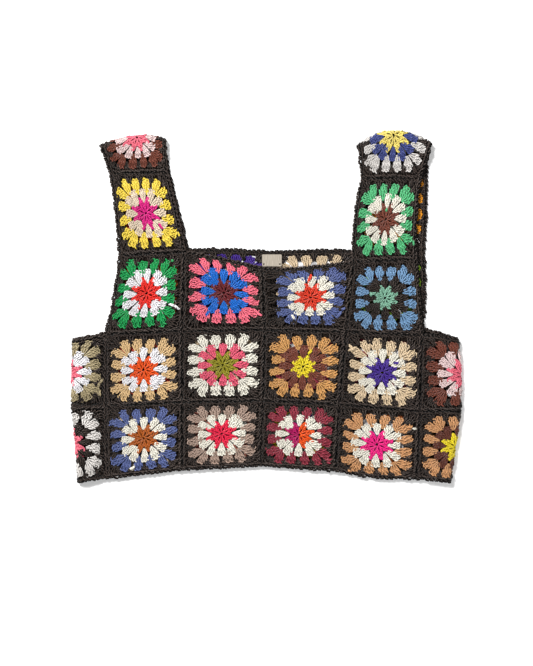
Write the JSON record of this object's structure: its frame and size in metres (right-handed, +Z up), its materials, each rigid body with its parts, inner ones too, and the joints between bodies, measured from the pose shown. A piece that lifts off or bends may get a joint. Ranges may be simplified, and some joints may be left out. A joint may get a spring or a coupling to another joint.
{
  "type": "crochet top",
  "caption": "Sleeveless crochet top of joined granny squares with wide shoulder straps and a square neck, laid out flat.",
  "frame": {"origin": "middle of the bounding box on the surface that the top lies on", "axes": "+X to the right across the front, +Y towards the shoulders, +Z up from the surface, with the front facing +Z"},
  "size_m": [0.4302, 0.388, 0.013],
  "materials": {
    "yarn_beige": "satin",
    "yarn_black": "satin",
    "yarn_bright_green": "satin",
    "yarn_brown": "satin",
    "yarn_camel": "satin",
    "yarn_coral": "satin",
    "yarn_cream": "satin",
    "yarn_denim": "satin",
    "yarn_golden_orange": "satin",
    "yarn_green": "satin",
    "yarn_khaki": "satin",
    "yarn_lime": "satin",
    "yarn_maroon": "satin",
    "yarn_olive_yellow": "satin",
    "yarn_pale_grey": "satin",
    "yarn_periwinkle": "satin",
    "yarn_pink": "satin",
    "yarn_plum_brown": "satin",
    "yarn_purple": "satin",
    "yarn_red": "satin",
    "yarn_rose": "satin",
    "yarn_rust": "satin",
    "yarn_salmon": "satin",
    "yarn_sky_blue": "satin",
    "yarn_tan": "satin",
    "yarn_tan_gold": "satin",
    "yarn_taupe": "satin",
    "yarn_yellow": "satin",
    "label": "satin"
  },
  "bodies": {
    "root": {"front_1_left": "yarn_yellow", "front_1_right": "yarn_bright_green", "front_2_1": "yarn_green", "front_2_2": "yarn_pink", "front_2_3": "yarn_periwinkle", "front_2_4": "yarn_sky_blue", "front_3_1": "yarn_tan", "front_3_2": "yarn_cream", "front_3_3": "yarn_tan_gold", "front_3_4": "yarn_beige", "front_4_1": "yarn_denim", "front_4_2": "yarn_taupe", "front_4_3": "yarn_maroon", "front_4_4": "yarn_camel", "side_left_3": "yarn_khaki", "side_left_4": "yarn_pale_grey", "side_right_3": "yarn_brown", "side_right_4": "yarn_camel", "shoulder_left": "yarn_brown", "shoulder_right": "yarn_pale_grey", "back_1_left": "yarn_red", "back_1_right": "yarn_golden_orange", "back_2_1": "yarn_rust", "back_2_2": "yarn_purple", "back_2_3": "yarn_tan", "back_2_4": "yarn_lime", "back_3_1": "yarn_coral", "back_3_2": "yarn_cream", "back_3_3": "yarn_rose", "back_3_4": "yarn_plum_brown", "back_4_1": "yarn_cream", "back_4_2": "yarn_salmon", "back_4_3": "yarn_olive_yellow", "back_4_4": "yarn_rust", "hem_edging": "yarn_black", "armhole_edging_left": "yarn_black", "armhole_edging_right": "yarn_black", "neck_edging": "yarn_black", "label_plate": "label"}
  },
  "joints": []
}
